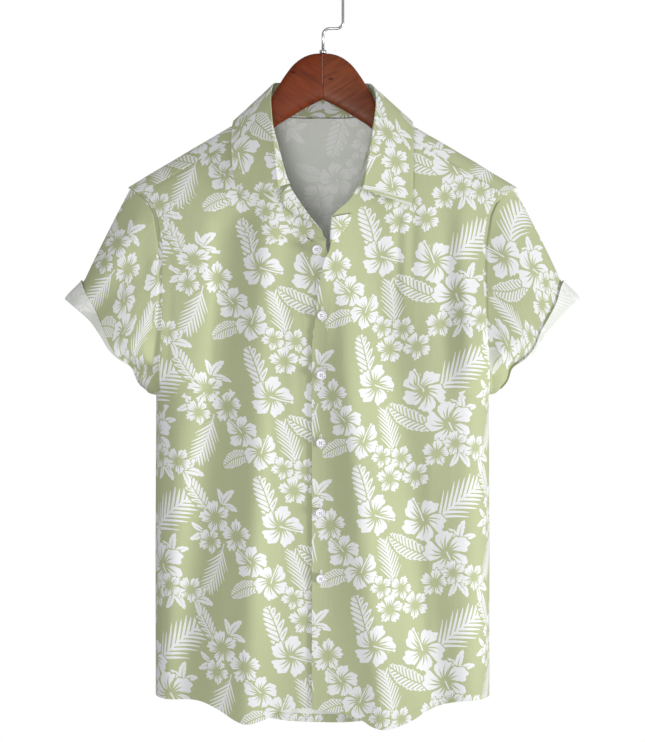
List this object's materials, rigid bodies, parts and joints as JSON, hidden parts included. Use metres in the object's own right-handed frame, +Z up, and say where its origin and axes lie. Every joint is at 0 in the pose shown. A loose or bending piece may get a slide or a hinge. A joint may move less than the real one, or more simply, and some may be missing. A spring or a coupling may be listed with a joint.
{
  "type": "hawaiian shirt on a hanger",
  "caption": "Short-sleeved hawaiian shirt with a fold-over collar, buttoned placket, turned-up sleeve hems and curved tail, hanging open at the neck on a wooden hanger.",
  "frame": {"origin": "inside of the crown of the hanger's hook, where it hangs on a rod", "axes": "+Z up, the shirt's front faces -Y, +X to the wearer's left"},
  "size_m": [0.6304, 0.1714, 0.9274],
  "materials": {
    "print_cloth": "matt printed cloth, white flowers and leaves on soft green",
    "wrong_side": "matt, pale grey-white wrong side of the print",
    "button": "satin",
    "wood_light": "varnished, red-brown",
    "wood_dark": "varnished, red-brown",
    "steel": "polished wire"
  },
  "bodies": {
    "root": {"back": "print_cloth", "button_1": "button", "button_2": "button", "button_3": "button", "button_4": "button", "button_5": "button", "button_6": "button", "collar": "print_cloth", "facing_left": "print_cloth", "facing_right": "print_cloth", "ferrule": "steel", "front_left": "print_cloth", "front_right": "print_cloth", "hanger_left": "wood_dark", "hanger_right": "wood_light", "hook": "steel", "sleeve_left": "print_cloth", "sleeve_right": "print_cloth", "turnup_left": "wrong_side", "turnup_right": "wrong_side", "yoke": "print_cloth"}
  },
  "joints": []
}
